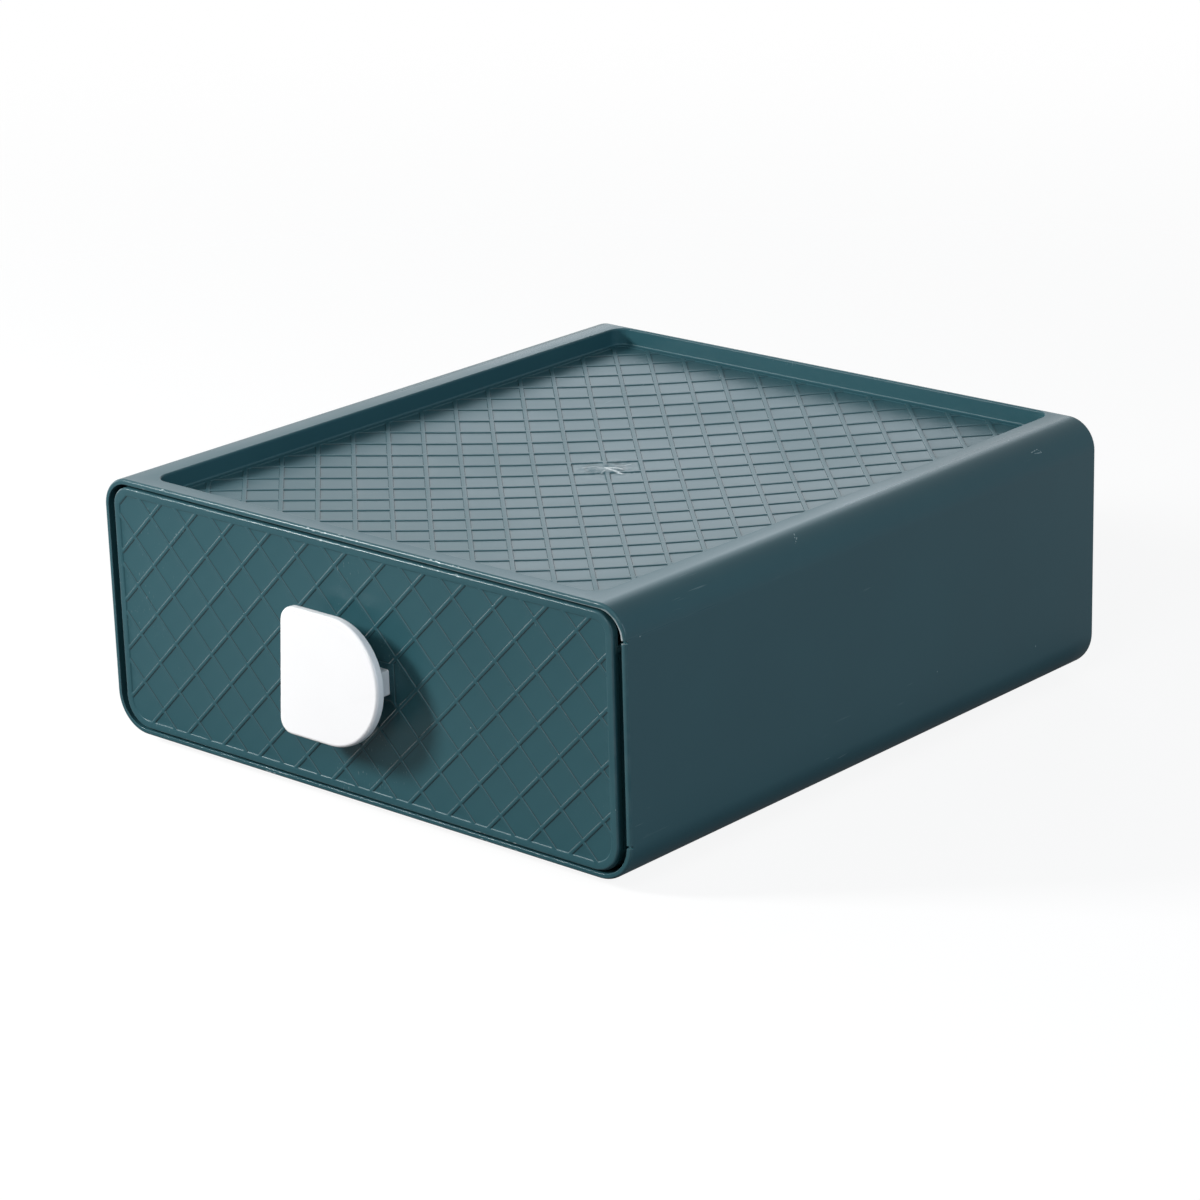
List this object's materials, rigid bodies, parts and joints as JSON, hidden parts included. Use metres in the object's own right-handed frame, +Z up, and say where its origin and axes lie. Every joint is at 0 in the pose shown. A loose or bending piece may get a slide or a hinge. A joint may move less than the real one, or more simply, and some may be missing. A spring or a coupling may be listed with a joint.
{
  "type": "stackable drawer box",
  "caption": "Stackable desktop drawer box: an open-fronted case with a sunk diamond-patterned top, a sliding drawer and a D-shaped snap-in pull.",
  "frame": {"origin": "on the ground under the middle of the case: a point of the stacking foot's flat underside", "axes": "+Z up, +Y towards the back wall, the drawer opens towards -Y, +X to the right seen from the front"},
  "size_m": [0.2, 0.2251, 0.081],
  "materials": {
    "teal_plastic": "satin injection-moulded",
    "white_plastic": "glossy injection-moulded"
  },
  "bodies": {
    "case": {"case": "teal_plastic"},
    "drawer": {"drawer": "teal_plastic", "pull": "white_plastic"}
  },
  "joints": [
    {"name": "drawer_slide", "type": "slide", "parent": "case", "child": "drawer", "axis": [0, -1, 0], "range_m": [0, 0.15]}
  ]
}
